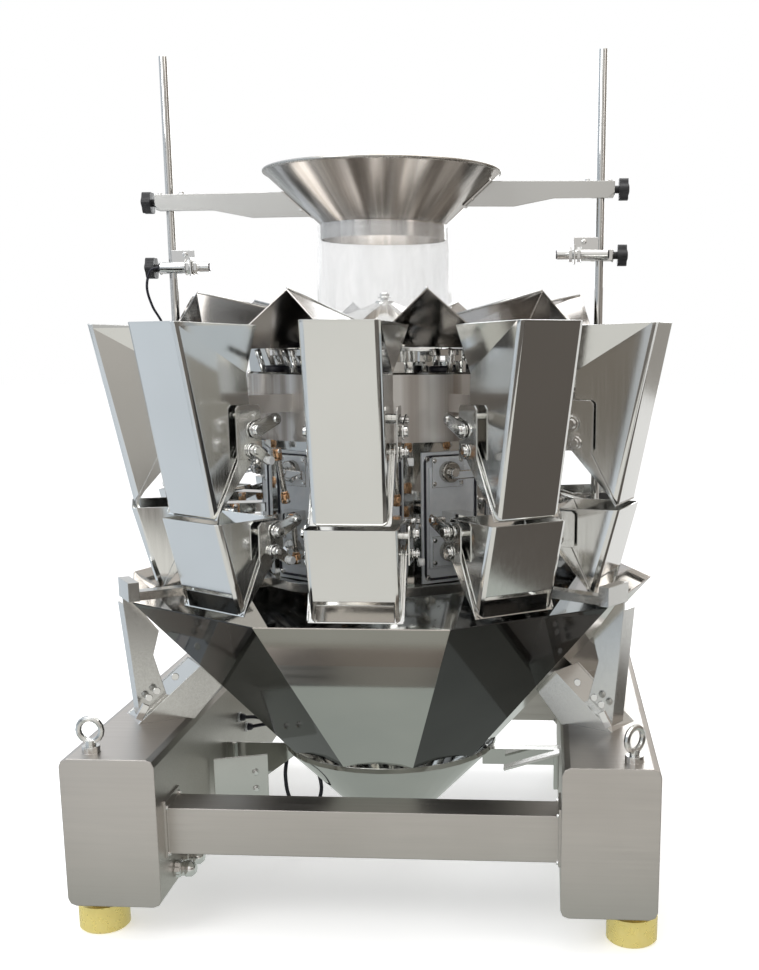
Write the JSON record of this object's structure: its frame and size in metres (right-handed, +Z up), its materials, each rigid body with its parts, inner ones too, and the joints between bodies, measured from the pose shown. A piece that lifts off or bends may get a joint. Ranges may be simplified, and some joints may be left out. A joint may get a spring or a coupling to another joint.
{
  "type": "multihead combination weigher",
  "caption": "Multihead weigher with a clear infeed sleeve, radial pans, hinged feed and weigh hoppers over a faceted steel chute, on a twin-beam base with lifting eyes.",
  "frame": {"origin": "on the floor, on the machine's vertical axis", "axes": "+Z up, -Y towards the front cross beam, +X to the right seen from the front"},
  "size_m": [1.0814, 1.102, 1.555],
  "materials": {
    "polished_steel": "polished",
    "satin_steel": "satin",
    "zinc_yellow": "satin",
    "clear_sleeve": "clear",
    "nickel": "polished",
    "knob_black": "matte",
    "cable_black": "matte"
  },
  "bodies": {
    "frame": {"base_frame": "satin_steel", "foot_front_left": "zinc_yellow", "foot_front_right": "zinc_yellow", "foot_rear_left": "zinc_yellow", "foot_rear_right": "zinc_yellow", "central_body": "polished_steel", "collating_chute": "polished_steel", "collecting_funnel": "polished_steel", "feeder_pans": "polished_steel", "sensor_cable": "cable_black", "body_cable": "cable_black", "feed_hopper_01": "polished_steel", "feed_hopper_02": "polished_steel", "feed_hopper_03": "polished_steel", "feed_hopper_04": "polished_steel", "feed_hopper_05": "polished_steel", "feed_hopper_06": "polished_steel", "feed_hopper_07": "polished_steel", "feed_hopper_08": "polished_steel", "feed_hopper_09": "polished_steel", "feed_hopper_10": "polished_steel", "weigh_hopper_01": "polished_steel", "weigh_hopper_02": "polished_steel", "weigh_hopper_03": "polished_steel", "weigh_hopper_04": "polished_steel", "weigh_hopper_05": "polished_steel", "weigh_hopper_06": "polished_steel", "weigh_hopper_07": "polished_steel", "weigh_hopper_08": "polished_steel", "weigh_hopper_09": "polished_steel", "weigh_hopper_10": "polished_steel"},
    "cone": {"dispersion_cone": "polished_steel"},
    "infeed": {"infeed_funnel": "polished_steel", "clear_sleeve": "clear_sleeve"},
    "left_sensor_carriage": {"left_sensor": "nickel"},
    "right_sensor_carriage": {"right_sensor": "nickel"},
    "left_arm_knob": {"left_arm_knob": "knob_black"},
    "right_arm_knob": {"right_arm_knob": "knob_black"},
    "left_sensor_knob": {"left_sensor_knob": "knob_black"},
    "right_sensor_knob": {"right_sensor_knob": "knob_black"},
    "feed_gate_01": {"feed_gate_01": "polished_steel"},
    "feed_gate_02": {"feed_gate_02": "polished_steel"},
    "feed_gate_03": {"feed_gate_03": "polished_steel"},
    "feed_gate_04": {"feed_gate_04": "polished_steel"},
    "feed_gate_05": {"feed_gate_05": "polished_steel"},
    "feed_gate_06": {"feed_gate_06": "polished_steel"},
    "feed_gate_07": {"feed_gate_07": "polished_steel"},
    "feed_gate_08": {"feed_gate_08": "polished_steel"},
    "feed_gate_09": {"feed_gate_09": "polished_steel"},
    "feed_gate_10": {"feed_gate_10": "polished_steel"},
    "weigh_gate_01": {"weigh_gate_01": "polished_steel"},
    "weigh_gate_02": {"weigh_gate_02": "polished_steel"},
    "weigh_gate_03": {"weigh_gate_03": "polished_steel"},
    "weigh_gate_04": {"weigh_gate_04": "polished_steel"},
    "weigh_gate_05": {"weigh_gate_05": "polished_steel"},
    "weigh_gate_06": {"weigh_gate_06": "polished_steel"},
    "weigh_gate_07": {"weigh_gate_07": "polished_steel"},
    "weigh_gate_08": {"weigh_gate_08": "polished_steel"},
    "weigh_gate_09": {"weigh_gate_09": "polished_steel"},
    "weigh_gate_10": {"weigh_gate_10": "polished_steel"}
  },
  "joints": [
    {"name": "feed_gate_01_swing", "type": "hinge", "parent": "frame", "child": "feed_gate_01", "pos_m": [0, -0.409, 0.852], "axis": [1, 0, 0], "range_deg": [0, 40], "stiffness_Nm_per_rad": 1.2, "springref_deg": -25.78},
    {"name": "feed_gate_02_swing", "type": "hinge", "parent": "frame", "child": "feed_gate_02", "pos_m": [0.2404, -0.33089, 0.852], "axis": [0.809, 0.5878, 0], "range_deg": [0, 40], "stiffness_Nm_per_rad": 1.2, "springref_deg": -25.78},
    {"name": "feed_gate_03_swing", "type": "hinge", "parent": "frame", "child": "feed_gate_03", "pos_m": [0.38898, -0.12639, 0.852], "axis": [0.309, 0.9511, 0], "range_deg": [0, 40], "stiffness_Nm_per_rad": 1.2, "springref_deg": -25.78},
    {"name": "feed_gate_04_swing", "type": "hinge", "parent": "frame", "child": "feed_gate_04", "pos_m": [0.38898, 0.12639, 0.852], "axis": [-0.309, 0.9511, 0], "range_deg": [0, 40], "stiffness_Nm_per_rad": 1.2, "springref_deg": -25.78},
    {"name": "feed_gate_05_swing", "type": "hinge", "parent": "frame", "child": "feed_gate_05", "pos_m": [0.2404, 0.33089, 0.852], "axis": [-0.809, 0.5878, 0], "range_deg": [0, 40], "stiffness_Nm_per_rad": 1.2, "springref_deg": -25.78},
    {"name": "feed_gate_06_swing", "type": "hinge", "parent": "frame", "child": "feed_gate_06", "pos_m": [0, 0.409, 0.852], "axis": [-1, 0, 0], "range_deg": [0, 40], "stiffness_Nm_per_rad": 1.2, "springref_deg": -25.78},
    {"name": "feed_gate_07_swing", "type": "hinge", "parent": "frame", "child": "feed_gate_07", "pos_m": [-0.2404, 0.33089, 0.852], "axis": [-0.809, -0.5878, 0], "range_deg": [0, 40], "stiffness_Nm_per_rad": 1.2, "springref_deg": -25.78},
    {"name": "feed_gate_08_swing", "type": "hinge", "parent": "frame", "child": "feed_gate_08", "pos_m": [-0.38898, 0.12639, 0.852], "axis": [-0.309, -0.9511, 0], "range_deg": [0, 40], "stiffness_Nm_per_rad": 1.2, "springref_deg": -25.78},
    {"name": "feed_gate_09_swing", "type": "hinge", "parent": "frame", "child": "feed_gate_09", "pos_m": [-0.38898, -0.12639, 0.852], "axis": [0.309, -0.9511, 0], "range_deg": [0, 40], "stiffness_Nm_per_rad": 1.2, "springref_deg": -25.78},
    {"name": "feed_gate_10_swing", "type": "hinge", "parent": "frame", "child": "feed_gate_10", "pos_m": [-0.2404, -0.33089, 0.852], "axis": [0.809, -0.5878, 0], "range_deg": [0, 40], "stiffness_Nm_per_rad": 1.2, "springref_deg": -25.78},
    {"name": "weigh_gate_01_swing", "type": "hinge", "parent": "frame", "child": "weigh_gate_01", "pos_m": [0, -0.3814, 0.6778], "axis": [1, 0, 0], "range_deg": [0, 40], "stiffness_Nm_per_rad": 1.2, "springref_deg": -25.78},
    {"name": "weigh_gate_02_swing", "type": "hinge", "parent": "frame", "child": "weigh_gate_02", "pos_m": [0.22418, -0.30856, 0.6778], "axis": [0.809, 0.5878, 0], "range_deg": [0, 40], "stiffness_Nm_per_rad": 1.2, "springref_deg": -25.78},
    {"name": "weigh_gate_03_swing", "type": "hinge", "parent": "frame", "child": "weigh_gate_03", "pos_m": [0.36273, -0.11786, 0.6778], "axis": [0.309, 0.9511, 0], "range_deg": [0, 40], "stiffness_Nm_per_rad": 1.2, "springref_deg": -25.78},
    {"name": "weigh_gate_04_swing", "type": "hinge", "parent": "frame", "child": "weigh_gate_04", "pos_m": [0.36273, 0.11786, 0.6778], "axis": [-0.309, 0.9511, 0], "range_deg": [0, 40], "stiffness_Nm_per_rad": 1.2, "springref_deg": -25.78},
    {"name": "weigh_gate_05_swing", "type": "hinge", "parent": "frame", "child": "weigh_gate_05", "pos_m": [0.22418, 0.30856, 0.6778], "axis": [-0.809, 0.5878, 0], "range_deg": [0, 40], "stiffness_Nm_per_rad": 1.2, "springref_deg": -25.78},
    {"name": "weigh_gate_06_swing", "type": "hinge", "parent": "frame", "child": "weigh_gate_06", "pos_m": [0, 0.3814, 0.6778], "axis": [-1, 0, 0], "range_deg": [0, 40], "stiffness_Nm_per_rad": 1.2, "springref_deg": -25.78},
    {"name": "weigh_gate_07_swing", "type": "hinge", "parent": "frame", "child": "weigh_gate_07", "pos_m": [-0.22418, 0.30856, 0.6778], "axis": [-0.809, -0.5878, 0], "range_deg": [0, 40], "stiffness_Nm_per_rad": 1.2, "springref_deg": -25.78},
    {"name": "weigh_gate_08_swing", "type": "hinge", "parent": "frame", "child": "weigh_gate_08", "pos_m": [-0.36273, 0.11786, 0.6778], "axis": [-0.309, -0.9511, 0], "range_deg": [0, 40], "stiffness_Nm_per_rad": 1.2, "springref_deg": -25.78},
    {"name": "weigh_gate_09_swing", "type": "hinge", "parent": "frame", "child": "weigh_gate_09", "pos_m": [-0.36273, -0.11786, 0.6778], "axis": [0.309, -0.9511, 0], "range_deg": [0, 40], "stiffness_Nm_per_rad": 1.2, "springref_deg": -25.78},
    {"name": "weigh_gate_10_swing", "type": "hinge", "parent": "frame", "child": "weigh_gate_10", "pos_m": [-0.22418, -0.30856, 0.6778], "axis": [0.809, -0.5878, 0], "range_deg": [0, 40], "stiffness_Nm_per_rad": 1.2, "springref_deg": -25.78},
    {"name": "cone_vibration", "type": "slide", "parent": "frame", "child": "cone", "axis": [0, 0, 1], "range_m": [-0.001, 0.001], "stiffness_N_per_m": 30000, "springref_m": 0.00084},
    {"name": "infeed_height", "type": "slide", "parent": "frame", "child": "infeed", "axis": [0, 0, 1], "range_m": [0, 0.12]},
    {"name": "left_sensor_height", "type": "slide", "parent": "frame", "child": "left_sensor_carriage", "axis": [0, 0, 1], "range_m": [-0.03, 0.04]},
    {"name": "right_sensor_height", "type": "slide", "parent": "frame", "child": "right_sensor_carriage", "axis": [0, 0, 1], "range_m": [-0.03, 0.04]},
    {"name": "left_arm_knob_turn", "type": "hinge", "parent": "infeed", "child": "left_arm_knob", "pos_m": [-0.445, 0, 1.293], "axis": [-1, 0, 0], "continuous": true},
    {"name": "left_sensor_knob_turn", "type": "hinge", "parent": "left_sensor_carriage", "child": "left_sensor_knob", "pos_m": [-0.445, 0, 1.172], "axis": [-1, 0, 0], "continuous": true},
    {"name": "right_arm_knob_turn", "type": "hinge", "parent": "infeed", "child": "right_arm_knob", "pos_m": [0.445, 0, 1.309], "axis": [1, 0, 0], "continuous": true},
    {"name": "right_sensor_knob_turn", "type": "hinge", "parent": "right_sensor_carriage", "child": "right_sensor_knob", "pos_m": [0.445, 0, 1.19], "axis": [1, 0, 0], "continuous": true}
  ]
}
